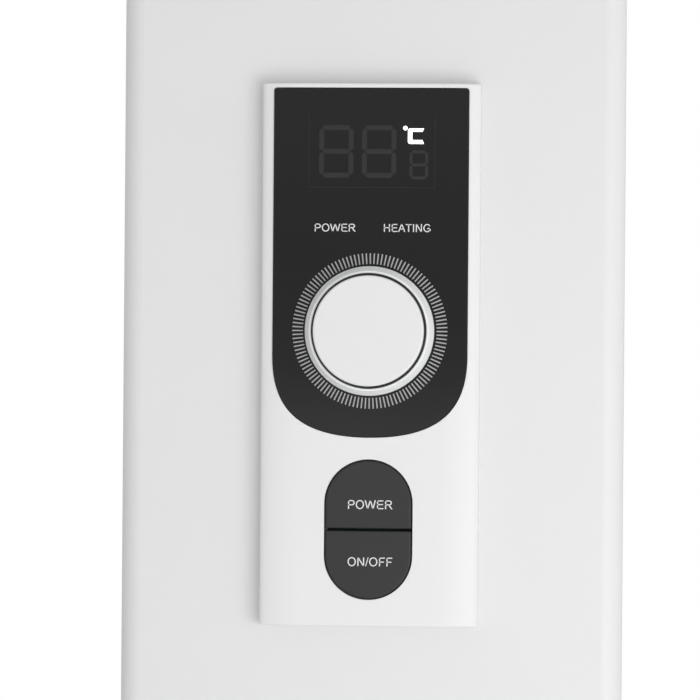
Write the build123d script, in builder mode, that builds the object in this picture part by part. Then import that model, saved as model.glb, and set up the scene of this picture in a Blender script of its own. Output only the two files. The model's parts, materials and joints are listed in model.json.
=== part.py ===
"""Oil filled radiator heater on four casters, with a digital control panel on a broad flat front cover.

Seven hollow steel fins are joined hub to hub along Y.  A plastic control box hangs on the front fin and
carries the raised panel: black glass, a turning knob and two push buttons.  Two steel straps, each held to
the fins by a U-bolt over the bottom hub line, carry two swivel casters each.

Millimetres.  +Z is up, the front cover faces -Y, and the origin is on the floor at the middle of the
bounding box.
"""

import os
from math import cos, radians, sin

from build123d import *

os.makedirs("parts", exist_ok=True)

# ---------------------------------------------------------------- fins
FIN_COUNT = 7
FIN_PITCH = 40.0
FIN_WIDTH = 160.0
FIN_BOTTOM = 72.0
FIN_TOP = 620.0
FIN_CORNER = 36.0
FIN_SHEET = 1.2
RIM = 5.0
EDGE_STRIP_WIDTH = 20.0
CHANNEL_X = 24.0
CHANNEL_WIDTH = 30.0
CHANNEL_HALF_DEPTH = 6.5
CHANNEL_SLOPE = 4.5
CHANNEL_WALL = 0.8
HEADER_R = 42.0
HUB_R = 22.0
HUB_BORE_R = 21.0
HUB_INSET = 46.0
HUB_LOW_Z = FIN_BOTTOM + HUB_INSET
HUB_HIGH_Z = FIN_TOP - HUB_INSET

# ---------------------------------------------------------------- control box, depths from the cover's face
COVER_WIDTH = 196.0
COVER_HEIGHT = 562.0
COVER_BOTTOM = 80.0
COVER_DEPTH = 32.0
COVER_WALL = 2.4
COVER_CORNER = 24.0
COVER_EDGE = 8.0
COVER_TOP = COVER_BOTTOM + COVER_HEIGHT
COVER_MID_Z = COVER_BOTTOM + COVER_HEIGHT / 2
BOX_REVEAL = 2.0
BOX_DEPTH = 85.0
BOX_WALL = 2.2
BOX_WIDTH = COVER_WIDTH - 2 * BOX_REVEAL
BOX_HEIGHT = COVER_HEIGHT - 2 * BOX_REVEAL
SHIELD_DEPTH = 88.0
SHIELD_SHEET = 1.0
FIRST_HUB_DEPTH = 100.0
FIRST_FIN_DEPTH = FIRST_HUB_DEPTH + FIN_PITCH / 2
LAST_FIN_DEPTH = FIRST_FIN_DEPTH + (FIN_COUNT - 1) * FIN_PITCH
LAST_HUB_DEPTH = LAST_FIN_DEPTH + FIN_PITCH / 2

# ---------------------------------------------------------------- control panel
BEZEL_WIDTH = 84.6
BEZEL_HEIGHT = 210.0
BEZEL_RISE = 11.0
BEZEL_SIDE = 7.6
BEZEL_FLAT = 28.0
BEZEL_WALL = 2.2
BEZEL_TOP = COVER_TOP - 62.0
BEZEL_MID_Z = BEZEL_TOP - BEZEL_HEIGHT / 2
GLASS_WIDTH = 75.5
GLASS_HEIGHT = 135.2
GLASS_THICKNESS = 2.0
GLASS_TOP = BEZEL_TOP - 1.8
GLASS_STRAIGHT = 103.6
GLASS_SIDE_HANDLE = 17.8
GLASS_FOOT_HANDLE = 30.6
GLASS_CORNER = 1.2
GLASS_SINK = 0.2
GLASS_RISE = BEZEL_RISE - GLASS_SINK
LEDGE = 1.6
KNOB_Z = GLASS_TOP - 94.0
BUTTONS_Z = GLASS_TOP - 170.8
BUTTON_WIDTH = 33.3
BUTTON_LENGTH = 53.4
BUTTON_GAP = 0.5
BUTTON_SPLIT = 0.8
BUTTON_PROUD = 0.5
BUTTON_TRAVEL = 1.0
BUTTON_LIP = 1.3
DISPLAY_Z = GLASS_TOP - 24.6
DISPLAY_WIDTH = 49.0
DISPLAY_HEIGHT = 28.6
LAMP_PLACES = [(-13.7, GLASS_TOP - 54.1), (14.2, GLASS_TOP - 54.1)]

# knob heights stand above the glass
KNOB_RING_R = 25.0
KNOB_GROOVE_R = 22.3
KNOB_SLEEVE = 0.6
KNOB_CAP_R = 21.35
KNOB_LIFT = 0.4
KNOB_RING_LOW = 2.8
KNOB_RING_HIGH = 7.0
KNOB_RING_LAND = 0.8
KNOB_SLEEVE_TOP = KNOB_RING_HIGH - 0.9
KNOB_FLOOR = 2.6
KNOB_HEIGHT = 10.6
SHAFT_R = 3.0
SHAFT_FLAT = 1.5
RUNNING = 0.05

BOARD_DEPTH = 6.0
BOARD_THICKNESS = 1.6
BOARD_WIDTH = 72.0
BOARD_HEIGHT = 188.0

# ---------------------------------------------------------------- casters
WHEEL_R = 23.0
WHEEL_WIDTH = 18.0
WHEEL_TRAIL = 18.0
AXLE_R = 2.5
ARM_GAP = 1.0
ARM_THICKNESS = 3.0
FORK_TOP = 60.0
FORK_DISC = 6.0
FORK_DISC_R = 13.5
STEM_R = 4.0
CASTER_X = 118.0
STRAP_LENGTH = 270.0
STRAP_WIDTH = 36.0
STRAP_THICKNESS = 2.5
STRAP_BOTTOM = FIN_BOTTOM - STRAP_THICKNESS
UBOLT_WIRE_R = 2.5
UBOLT_BEND_R = HUB_R + UBOLT_WIRE_R + 0.3

# ---------------------------------------------------------------- whole length and the cover's place on Y
CORD_HOOK_REACH = 33.0
LENGTH = GLASS_RISE + KNOB_HEIGHT + LAST_HUB_DEPTH + 3.0 + CORD_HOOK_REACH
COVER_Y = -LENGTH / 2 + GLASS_RISE + KNOB_HEIGHT
FRONT_CASTER_Y = COVER_Y + FIRST_FIN_DEPTH + FIN_PITCH / 2
REAR_CASTER_Y = COVER_Y + LAST_FIN_DEPTH - FIN_PITCH / 2


def at_depth(depth):
    """Plane facing the front, that many millimetres behind the cover's face."""
    return Plane.XZ.offset(-(COVER_Y + depth))


def write(piece, name):
    """Label a finished piece and write it as its own STEP file."""
    piece.label = name
    export_step(piece, f"parts/{name}.step")


# ================================================================ radiator
FIN_MID_Z = (FIN_BOTTOM + FIN_TOP) / 2
FIN_HEIGHT = FIN_TOP - FIN_BOTTOM


def make_rim(middle):
    """Rolled rim of a fin: a round-edged band along the sheet's outline."""
    with BuildPart() as rim:
        with BuildSketch(middle):
            with Locations((0, FIN_MID_Z)):
                RectangleRounded(FIN_WIDTH, FIN_HEIGHT, FIN_CORNER)
                inside = (FIN_WIDTH - 2 * RIM, FIN_HEIGHT - 2 * RIM)
                RectangleRounded(*inside, FIN_CORNER - RIM, mode=Mode.SUBTRACT)
        extrude(amount=RIM / 2, both=True)
        fillet(rim.faces().filter_by(Axis.Y).edges(), RIM / 2 - 0.3)
    return rim.part


def make_edge_strip(middle_y, side):
    """Folded strip along one long side of a fin, which keeps the hand off the sheet's edge."""
    with BuildPart() as strip:
        with BuildSketch(Plane.YZ.offset(side * (FIN_WIDTH / 2 - FIN_SHEET / 2))):
            with Locations((middle_y, FIN_MID_Z)):
                RectangleRounded(EDGE_STRIP_WIDTH, FIN_HEIGHT - 2.2 * FIN_CORNER, 8.0)
        extrude(amount=1.0, both=True)
        fillet(strip.faces().filter_by(Axis.X).edges(), 0.8)
    return strip.part


def make_channels(middle, shrink):
    """Oil channels: two columns between two round headers, with sloping sides, made smaller by the shrink."""
    with BuildPart() as channels:
        with BuildSketch(middle):
            with Locations((0, HUB_LOW_Z), (0, HUB_HIGH_Z)):
                Circle(HEADER_R - shrink)
            with Locations((-CHANNEL_X, FIN_MID_Z), (CHANNEL_X, FIN_MID_Z)):
                Rectangle(CHANNEL_WIDTH - 2 * shrink, HUB_HIGH_Z - HUB_LOW_Z)
        extrude(amount=CHANNEL_HALF_DEPTH - shrink, both=True)
        chamfer(channels.faces().filter_by(Axis.Y).edges(), CHANNEL_SLOPE)
    return channels.part


first_middle = at_depth(FIRST_FIN_DEPTH)
rim = make_rim(first_middle)
edge_strips = [make_edge_strip(COVER_Y + FIRST_FIN_DEPTH, side) for side in (-1, 1)]
channels = make_channels(first_middle, 0)
oil_space = make_channels(first_middle, CHANNEL_WALL)
with BuildPart() as fin:
    with BuildSketch(first_middle):
        with Locations((0, FIN_MID_Z)):
            RectangleRounded(FIN_WIDTH, FIN_HEIGHT, FIN_CORNER)
    extrude(amount=FIN_SHEET / 2, both=True)
    add([rim, *edge_strips, channels])
    # long stiffening beads in the wings
    with BuildSketch(first_middle):
        with Locations((-60, FIN_MID_Z), (60, FIN_MID_Z)):
            SlotOverall(FIN_HEIGHT - 150, 9, rotation=90)
    extrude(amount=2.2, both=True)
    # hubs, which meet the neighbours' hubs face to face
    with BuildSketch(first_middle):
        with Locations((0, HUB_LOW_Z), (0, HUB_HIGH_Z)):
            Circle(HUB_R)
    extrude(amount=FIN_PITCH / 2, both=True)
    # the space that the oil fills
    add(oil_space, mode=Mode.SUBTRACT)
    with BuildSketch(first_middle):
        with Locations((0, HUB_LOW_Z), (0, HUB_HIGH_Z)):
            Circle(HUB_BORE_R)
    extrude(amount=FIN_PITCH / 2, both=True, mode=Mode.SUBTRACT)
    # spot-weld dimples down the middle web
    with BuildSketch(first_middle.offset(FIN_SHEET / 2)):
        with Locations((0, FIN_MID_Z)):
            with GridLocations(0, 62, 1, 6):
                Circle(3.0)
    extrude(amount=-0.35, mode=Mode.SUBTRACT)

for number in range(FIN_COUNT):
    write(Pos(0, number * FIN_PITCH, 0) * fin.part, f"fin_{number + 1}")

CAP_SHEET = 3.0
STUD_R = 4.0
with BuildPart() as hub_end_caps:
    with BuildSketch(at_depth(FIRST_HUB_DEPTH)):
        with Locations((0, HUB_HIGH_Z)):
            Circle(HUB_R)
    extrude(amount=CAP_SHEET)
    with BuildSketch(at_depth(FIRST_HUB_DEPTH - CAP_SHEET)):
        with Locations((0, HUB_HIGH_Z)):
            Circle(8.0)
    extrude(amount=FIRST_HUB_DEPTH - CAP_SHEET - SHIELD_DEPTH - SHIELD_SHEET)
    with BuildSketch(at_depth(SHIELD_DEPTH + SHIELD_SHEET)):
        with Locations((0, HUB_HIGH_Z)):
            Circle(STUD_R)
    extrude(amount=14.0)
    with BuildSketch(at_depth(LAST_HUB_DEPTH)):
        with Locations((0, HUB_LOW_Z), (0, HUB_HIGH_Z)):
            Circle(HUB_R)
        with Locations((0, HUB_LOW_Z)):
            Circle(8.05, mode=Mode.SUBTRACT)
    extrude(amount=-CAP_SHEET)
write(hub_end_caps.part, "hub_end_caps")

with BuildPart() as filler_plug:
    with BuildSketch(at_depth(LAST_HUB_DEPTH + CAP_SHEET)):
        with Locations((0, HUB_LOW_Z)):
            RegularPolygon(11.0, 6)
    extrude(amount=-7.0)
    chamfer(filler_plug.faces().sort_by(Axis.Y)[-1].edges(), 0.8)
    with BuildSketch(at_depth(LAST_HUB_DEPTH + CAP_SHEET)):
        with Locations((0, HUB_LOW_Z)):
            Circle(8.0)
    extrude(amount=12.0)
write(filler_plug.part, "filler_plug")

# heating element: two hairpins of tube in the bottom hub line
ELEMENT_R = 3.5
ELEMENT_HALF = 8.0
ELEMENT_REACH = 236.0
FLANGE_FACE = 94.0
NECK_FACE = 80.0
with BuildPart() as heating_element:
    for row in (-ELEMENT_HALF, ELEMENT_HALF):
        row_z = HUB_LOW_Z + row
        start_y = COVER_Y + NECK_FACE + 6.0
        end_y = start_y + ELEMENT_REACH
        with BuildLine() as hairpin:
            leg = Line((-ELEMENT_HALF, start_y, row_z), (-ELEMENT_HALF, end_y, row_z))
            bend = ThreePointArc(leg @ 1, (0, end_y + ELEMENT_HALF, row_z), (ELEMENT_HALF, end_y, row_z))
            Line(bend @ 1, (ELEMENT_HALF, start_y, row_z))
        with BuildSketch(Plane(origin=hairpin.line @ 0, z_dir=hairpin.line % 0)):
            Circle(ELEMENT_R)
        sweep(path=hairpin.line)
write(heating_element.part, "heating_element")

NECK_R = 18.0
with BuildPart() as element_head:
    for face, radius, length in ((FIRST_HUB_DEPTH, 24.0, 6.0), (FLANGE_FACE, 21.0, 5.0), (89.0, NECK_R, 9.0)):
        with BuildSketch(at_depth(face)):
            with Locations((0, HUB_LOW_Z)):
                Circle(radius)
        extrude(amount=length)
    pin_offsets = (-ELEMENT_HALF, ELEMENT_HALF)
    pin_places = [(x, HUB_LOW_Z + z) for x in pin_offsets for z in pin_offsets]
    with BuildSketch(at_depth(FIRST_HUB_DEPTH)):
        with Locations(pin_places):
            Circle(ELEMENT_R)
    extrude(amount=FIRST_HUB_DEPTH - NECK_FACE - 6.0, mode=Mode.SUBTRACT)
write(element_head.part, "element_head")

with BuildPart() as element_terminals:
    with BuildSketch(at_depth(NECK_FACE)):
        with Locations(pin_places):
            Circle(3.2)
    extrude(amount=6.0)
    with BuildSketch(at_depth(NECK_FACE - 6.0)):
        with Locations(pin_places):
            Circle(1.6)
    extrude(amount=9.0)
write(element_terminals.part, "element_terminals")

# ================================================================ heat shield between the box and the fins
SHIELD_SCREWS = [(x, z) for x in (-66.0, 66.0) for z in (190.0, 520.0)]
with BuildPart() as heat_shield:
    with BuildSketch(at_depth(SHIELD_DEPTH)):
        with Locations((0, COVER_MID_Z)):
            RectangleRounded(BOX_WIDTH - 14, BOX_HEIGHT - 14, COVER_CORNER - 8)
        with Locations((0, HUB_LOW_Z)):
            Circle(NECK_R + 0.2, mode=Mode.SUBTRACT)
        with Locations((0, HUB_HIGH_Z)):
            Circle(STUD_R + 0.2, mode=Mode.SUBTRACT)
        with Locations(SHIELD_SCREWS):
            Circle(1.6, mode=Mode.SUBTRACT)
        with Locations((0, COVER_MID_Z)):
            with GridLocations(30, 26, 4, 6):
                SlotOverall(20, 5, mode=Mode.SUBTRACT)
    extrude(amount=-SHIELD_SHEET)
write(heat_shield.part, "heat_shield")

with BuildPart() as shield_nuts:
    with BuildSketch(at_depth(SHIELD_DEPTH)):
        with Locations((0, HUB_HIGH_Z)):
            RegularPolygon(7.5, 6)
            Circle(STUD_R + RUNNING, mode=Mode.SUBTRACT)
        with Locations((0, HUB_LOW_Z)):
            RegularPolygon(25.0, 12)
            Circle(NECK_R + RUNNING, mode=Mode.SUBTRACT)
    extrude(amount=6.0)
write(shield_nuts.part, "shield_nuts")

# ================================================================ control box
COVER_POSTS = [(x, z) for x in (-82.0, 82.0) for z in (COVER_BOTTOM + 26, COVER_MID_Z, COVER_TOP - 26)]
PANEL_SCREWS = [(x, BEZEL_MID_Z + z) for x in (-34.0, 34.0) for z in (-97.0, -42.0, 97.0)]
BOARD_POSTS = [(x, BEZEL_MID_Z + z) for x in (-31.0, 31.0) for z in (-89.0, 89.0)]
PILOT_R = 1.3
SHANK_R = PILOT_R - RUNNING
POST_R = 4.6
CASE_PILOT_R = 1.9


def cover_block(inset):
    """The cover's outer form, or its hollow when inset by the wall: a slab with rounded edges."""
    with BuildPart() as block:
        with BuildSketch(at_depth(COVER_DEPTH)):
            with Locations((0, COVER_MID_Z)):
                size = (COVER_WIDTH - 2 * inset, COVER_HEIGHT - 2 * inset)
                RectangleRounded(*size, COVER_CORNER - inset)
        extrude(amount=COVER_DEPTH - inset)
        fillet(block.faces().sort_by(Axis.Y)[0].edges(), COVER_EDGE - inset)
    return block.part


cover_form = cover_block(0)
cover_hollow = cover_block(COVER_WALL)
with BuildPart() as front_cover:
    add(cover_form)
    add(cover_hollow, mode=Mode.SUBTRACT)
    # posts that take the long case screws
    with BuildSketch(at_depth(COVER_WALL)):
        with Locations(COVER_POSTS):
            Circle(POST_R)
    extrude(amount=-(COVER_DEPTH - COVER_WALL - 1.0))
    with BuildSketch(at_depth(COVER_DEPTH)):
        with Locations(COVER_POSTS):
            Circle(CASE_PILOT_R)
    extrude(amount=COVER_DEPTH - COVER_WALL - 4.0, mode=Mode.SUBTRACT)
    # posts that carry the control board
    with BuildSketch(at_depth(COVER_WALL)):
        with Locations(BOARD_POSTS):
            Circle(3.4)
    extrude(amount=-(BOARD_DEPTH - COVER_WALL))
    with BuildSketch(at_depth(BOARD_DEPTH)):
        with Locations(BOARD_POSTS):
            Circle(PILOT_R)
    extrude(amount=BOARD_DEPTH - 1.2, mode=Mode.SUBTRACT)
    # windows behind the panel, and holes for its screws
    with BuildSketch(at_depth(COVER_DEPTH)):
        with Locations((0, DISPLAY_Z)):
            RectangleRounded(DISPLAY_WIDTH + 6, DISPLAY_HEIGHT + 6, 2)
        with Locations(LAMP_PLACES):
            SlotOverall(16, 7)
        with Locations((0, KNOB_Z)):
            RectangleRounded(26, 26, 3)
        with Locations((0, BUTTONS_Z)):
            RectangleRounded(BUTTON_WIDTH, BUTTON_LENGTH, 6)
        with Locations(PANEL_SCREWS):
            Circle(PILOT_R + 0.3)
    extrude(amount=COVER_DEPTH, mode=Mode.SUBTRACT)
write(front_cover.part, "front_cover")

GLAND_X = -60.0
GLAND_DEPTH = 60.0
GLAND_THREAD_R = 9.0
BOX_BOTTOM = COVER_BOTTOM + BOX_REVEAL
MIDDLE_DEPTH = 58.0
HANDLE_BOLTS = [(x, COVER_Y + MIDDLE_DEPTH) for x in (-52.0, 52.0)]
with BuildPart() as rear_housing:
    with BuildSketch(at_depth(BOX_DEPTH)):
        with Locations((0, COVER_MID_Z)):
            RectangleRounded(BOX_WIDTH, BOX_HEIGHT, COVER_CORNER - BOX_REVEAL)
    extrude(amount=BOX_DEPTH - COVER_DEPTH - 0.6)
    fillet(rear_housing.faces().sort_by(Axis.Y)[-1].edges(), 5.0)
    # tongue that enters the cover
    with BuildSketch(at_depth(COVER_DEPTH + 2.0)):
        with Locations((0, COVER_MID_Z)):
            tongue = (COVER_WIDTH - 2 * COVER_WALL - 0.5, COVER_HEIGHT - 2 * COVER_WALL - 0.5)
            RectangleRounded(*tongue, COVER_CORNER - COVER_WALL)
    extrude(amount=7.0)
    # hollow
    with BuildSketch(at_depth(BOX_DEPTH - BOX_WALL)):
        with Locations((0, COVER_MID_Z)):
            hollow = (BOX_WIDTH - 2 * BOX_WALL - 1.4, BOX_HEIGHT - 2 * BOX_WALL - 1.4)
            RectangleRounded(*hollow, COVER_CORNER - BOX_REVEAL - BOX_WALL)
    extrude(amount=BOX_DEPTH, mode=Mode.SUBTRACT)
    # tubes for the case screws
    with BuildSketch(at_depth(BOX_DEPTH - BOX_WALL)):
        with Locations(COVER_POSTS):
            Circle(POST_R + 0.6)
    extrude(amount=BOX_DEPTH - BOX_WALL - COVER_DEPTH)
    with BuildSketch(at_depth(BOX_DEPTH)):
        with Locations(COVER_POSTS):
            Circle(CASE_PILOT_R + 0.3)
    extrude(amount=BOX_DEPTH - COVER_DEPTH, mode=Mode.SUBTRACT)
    with BuildSketch(at_depth(BOX_DEPTH)):
        with Locations(COVER_POSTS):
            Circle(4.2)
    extrude(amount=8.0, mode=Mode.SUBTRACT)
    # stand-off bosses for the heat shield
    with BuildSketch(at_depth(BOX_DEPTH)):
        with Locations(SHIELD_SCREWS):
            Circle(6.0)
    extrude(amount=-(SHIELD_DEPTH - BOX_DEPTH))
    with BuildSketch(at_depth(SHIELD_DEPTH)):
        with Locations(SHIELD_SCREWS):
            Circle(1.6)
        with Locations((0, HUB_LOW_Z)):
            Circle(27.0)
        with Locations((0, HUB_HIGH_Z)):
            Circle(10.0)
        with Locations((0, 345.0)):
            SlotOverall(44, 16)
    extrude(amount=8.0, mode=Mode.SUBTRACT)
    # cooling slots through both side walls
    with BuildSketch(Plane.YZ):
        with Locations((COVER_Y + MIDDLE_DEPTH, 540.0), (COVER_Y + MIDDLE_DEPTH, 190.0)):
            with GridLocations(0, 8.0, 1, 12):
                SlotOverall(30.0, 3.6)
    extrude(amount=BOX_WIDTH / 2, both=True, mode=Mode.SUBTRACT)
    # slots and the cord gland's hole in the bottom wall
    with BuildSketch(Plane.XY.offset(BOX_BOTTOM - 5)):
        with Locations((10, COVER_Y + 60)):
            with GridLocations(8.0, 0, 9, 1):
                SlotOverall(26.0, 3.6, rotation=90)
        with Locations((GLAND_X, COVER_Y + GLAND_DEPTH)):
            Circle(GLAND_THREAD_R)
    extrude(amount=12.0, mode=Mode.SUBTRACT)
    # bolt holes for the handle in the top wall
    with BuildSketch(Plane.XY.offset(COVER_TOP - BOX_REVEAL)):
        with Locations(HANDLE_BOLTS):
            Circle(2.7)
    extrude(amount=-12.0, mode=Mode.SUBTRACT)
write(rear_housing.part, "rear_housing")

# carrying handle on top of the housing
HANDLE_SPAN = 128.0
HANDLE_RISE = 42.0
HANDLE_DEPTH = 24.0
HANDLE_FOOT = COVER_TOP - BOX_REVEAL
GRIP_WIDTH = 84.0
GRIP_HEIGHT = 28.0
with BuildPart() as carry_handle:
    with BuildSketch(at_depth(MIDDLE_DEPTH + HANDLE_DEPTH / 2)):
        with BuildLine():
            Polyline((-HANDLE_SPAN / 2, HANDLE_FOOT), (-HANDLE_SPAN / 2 + 14, HANDLE_FOOT + HANDLE_RISE),
                     (HANDLE_SPAN / 2 - 14, HANDLE_FOOT + HANDLE_RISE), (HANDLE_SPAN / 2, HANDLE_FOOT),
                     close=True)
        make_face()
        fillet(vertices().group_by(Axis.Y)[-1], 16)
        with BuildLine():
            Polyline((-GRIP_WIDTH / 2, HANDLE_FOOT), (-GRIP_WIDTH / 2 + 6, HANDLE_FOOT + GRIP_HEIGHT),
                     (GRIP_WIDTH / 2 - 6, HANDLE_FOOT + GRIP_HEIGHT), (GRIP_WIDTH / 2, HANDLE_FOOT),
                     close=True)
        make_face(mode=Mode.SUBTRACT)
    extrude(amount=HANDLE_DEPTH)
    above_foot = carry_handle.edges().filter_by(lambda edge: edge.center().Z > HANDLE_FOOT + 0.5)
    fillet(above_foot.filter_by(lambda edge: abs(edge.tangent_at(0.5).Y) < 0.5), 4.5)
    with BuildSketch(Plane.XY.offset(HANDLE_FOOT)):
        with Locations(HANDLE_BOLTS):
            Circle(2.1)
    extrude(amount=15.0, mode=Mode.SUBTRACT)
write(carry_handle.part, "carry_handle")

# cord gland in the bottom wall; the cord itself is not part of this model
GLAND_BORE_R = 4.1
GLAND_LOW = BOX_BOTTOM - 16.0
GLAND_HIGH = BOX_BOTTOM + 12.0
with BuildPart() as cable_gland:
    with BuildSketch(Plane.XY.offset(GLAND_LOW)):
        with Locations((GLAND_X, COVER_Y + GLAND_DEPTH)):
            Circle(11.0)
    extrude(amount=11.0)
    chamfer(cable_gland.faces().sort_by(Axis.Z)[0].edges(), 3.0)
    with BuildSketch(Plane.XY.offset(GLAND_LOW + 11.0)):
        with Locations((GLAND_X, COVER_Y + GLAND_DEPTH)):
            RegularPolygon(13.0, 6)
    extrude(amount=5.0)
    with BuildSketch(Plane.XY.offset(BOX_BOTTOM)):
        with Locations((GLAND_X, COVER_Y + GLAND_DEPTH)):
            Circle(GLAND_THREAD_R - RUNNING)
    extrude(amount=GLAND_HIGH - BOX_BOTTOM)
    with BuildSketch(Plane.XY.offset(BOX_BOTTOM + 2.9)):
        with Locations((GLAND_X, COVER_Y + GLAND_DEPTH)):
            RegularPolygon(12.5, 6)
    extrude(amount=5.0)
    with BuildSketch(Plane.XY.offset(GLAND_LOW)):
        with Locations((GLAND_X, COVER_Y + GLAND_DEPTH)):
            Circle(GLAND_BORE_R)
    extrude(amount=GLAND_HIGH - GLAND_LOW, mode=Mode.SUBTRACT)
write(cable_gland.part, "cable_gland")

# ================================================================ control panel
def crown_profile(half_width, rise, side, flat):
    """Cross-section of the panel: flat in the middle, rolling off in quarter ellipses to upright sides."""
    with BuildLine() as outline:
        base = COVER_Y
        left = Polyline((-half_width, base), (-half_width, base - side))
        roll = (half_width - flat, rise - side)
        roll_left = EllipticalCenterArc((-flat, base - side), *roll, 180, arc_size=90)
        roll_right = EllipticalCenterArc((flat, base - side), *roll, 270, arc_size=90)
        Line(roll_left @ 1, roll_right @ 0)
        Polyline(roll_right @ 1, (half_width, base), left @ 0)
    make_face(outline.edges())


def glass_outline(grow):
    """Tongue shape of the glass, grown all round: square top, straight sides, foot like a superellipse."""
    half = GLASS_WIDTH / 2 + grow
    top_z = GLASS_TOP + grow
    bend_z = GLASS_TOP - GLASS_STRAIGHT
    foot_z = GLASS_TOP - GLASS_HEIGHT - grow
    side_z = bend_z - GLASS_SIDE_HANDLE
    with BuildLine() as outline:
        top = Polyline((-half, bend_z), (-half, top_z), (half, top_z), (half, bend_z))
        right = Bezier(top @ 1, (half, side_z), (GLASS_FOOT_HANDLE, foot_z), (0, foot_z))
        Bezier(right @ 1, (-GLASS_FOOT_HANDLE, foot_z), (-half, side_z), top @ 0)
    make_face(outline.edges())
    fillet(vertices().group_by(Axis.Y)[-1], GLASS_CORNER + grow)


with BuildPart() as control_bezel:
    with BuildSketch(Plane.XY.offset(BEZEL_TOP - BEZEL_HEIGHT)):
        crown_profile(BEZEL_WIDTH / 2, BEZEL_RISE, BEZEL_SIDE, BEZEL_FLAT)
    extrude(amount=BEZEL_HEIGHT)
    ends = control_bezel.faces().filter_by(Axis.Z)
    fillet(ends.edges().filter_by(lambda edge: edge.center().Y < COVER_Y - 1), 0.7)
    # hollow back
    with BuildSketch(Plane.XY.offset(BEZEL_TOP - BEZEL_HEIGHT + BEZEL_WALL)):
        inner_size = [size - BEZEL_WALL for size in (BEZEL_WIDTH / 2, BEZEL_RISE, BEZEL_SIDE)]
        crown_profile(*inner_size, BEZEL_FLAT)
    extrude(amount=BEZEL_HEIGHT - 2 * BEZEL_WALL, mode=Mode.SUBTRACT)
    # ledge that carries the glass
    with BuildSketch(at_depth(-(GLASS_RISE - GLASS_THICKNESS - LEDGE))):
        glass_outline(1.2)
    extrude(amount=LEDGE + 0.2)
    with BuildSketch(at_depth(-(GLASS_RISE - GLASS_THICKNESS))):
        glass_outline(0.12)
    extrude(amount=GLASS_THICKNESS + 2, mode=Mode.SUBTRACT)
    # windows in the ledge for display, indicator lamps and shaft
    with BuildSketch(at_depth(0)):
        with Locations((0, DISPLAY_Z)):
            RectangleRounded(DISPLAY_WIDTH + 0.6, DISPLAY_HEIGHT + 0.6, 1)
        with Locations(LAMP_PLACES):
            SlotOverall(14, 4)
        with Locations((0, KNOB_Z)):
            Circle(4.5)
    extrude(amount=BEZEL_RISE, mode=Mode.SUBTRACT)
    # opening for the two buttons
    with BuildSketch(at_depth(0)):
        with Locations((0, BUTTONS_Z)):
            SlotOverall(BUTTON_LENGTH + 2 * BUTTON_GAP, BUTTON_WIDTH + 2 * BUTTON_GAP, rotation=90)
    extrude(amount=BEZEL_RISE + 1, mode=Mode.SUBTRACT)
    # screw bosses
    with BuildSketch(at_depth(0)):
        with Locations(PANEL_SCREWS):
            Circle(3.1)
    extrude(amount=BEZEL_RISE - BEZEL_WALL - 0.1)
    with BuildSketch(at_depth(0)):
        with Locations(PANEL_SCREWS):
            Circle(PILOT_R)
    extrude(amount=5.5, mode=Mode.SUBTRACT)
write(control_bezel.part, "control_bezel")

with BuildPart() as display_glass:
    with BuildSketch(at_depth(-(GLASS_RISE - GLASS_THICKNESS))):
        glass_outline(0)
        with Locations((0, KNOB_Z)):
            Circle(4.5, mode=Mode.SUBTRACT)
    extrude(amount=GLASS_THICKNESS)
    glass_rim = display_glass.faces().sort_by(Axis.Y)[0].outer_wire().edges()
    chamfer(glass_rim, 0.25)
write(display_glass.part, "display_glass")


def knob_ring_profile(points):
    """Half-section from (radius, height above the glass) pairs, on the level plane through the axis."""
    with BuildLine() as outline:
        Polyline(*[(radius, COVER_Y - GLASS_RISE - height) for radius, height in points], close=True)
    make_face(outline.edges())


KNOB_AXIS = Axis((0, 0, KNOB_Z), (0, 1, 0))
KNOB_SHEET = 1.6
HUB_OUTER_R = 6.0
SHAFT_TOP = 7.6
with BuildPart() as knob_ring:
    with BuildSketch(Plane.XY.offset(KNOB_Z)):
        knob_ring_profile([(KNOB_GROOVE_R, KNOB_LIFT), (KNOB_RING_R, KNOB_LIFT),
                           (KNOB_RING_R, KNOB_RING_LOW), (KNOB_GROOVE_R + KNOB_RING_LAND, KNOB_RING_HIGH),
                           (KNOB_GROOVE_R, KNOB_RING_HIGH)])
    revolve(axis=KNOB_AXIS)
    land_inner, land_outer = knob_ring.edges().group_by(Axis.Y)[0].sort_by(SortBy.RADIUS)
    fillet(land_inner, 0.6)
    fillet(land_outer, 0.3)
write(knob_ring.part, "knob_ring")

with BuildPart() as knob_core:
    with BuildSketch(Plane.XY.offset(KNOB_Z)):
        knob_ring_profile([(0, KNOB_LIFT), (KNOB_GROOVE_R, KNOB_LIFT), (KNOB_GROOVE_R, KNOB_SLEEVE_TOP),
                           (KNOB_GROOVE_R - KNOB_SLEEVE, KNOB_SLEEVE_TOP),
                           (KNOB_GROOVE_R - KNOB_SLEEVE, KNOB_FLOOR), (HUB_OUTER_R, KNOB_FLOOR),
                           (HUB_OUTER_R, 8.6), (0, 8.6)])
    revolve(axis=KNOB_AXIS)
    with BuildSketch(at_depth(-GLASS_RISE)):
        with Locations((0, KNOB_Z)):
            Circle(SHAFT_R)
            with Locations((0, SHAFT_R + SHAFT_FLAT)):
                Rectangle(3 * SHAFT_R, 2 * SHAFT_R, mode=Mode.SUBTRACT)
    extrude(amount=SHAFT_TOP, mode=Mode.SUBTRACT)
write(knob_core.part, "knob_core")

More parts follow.
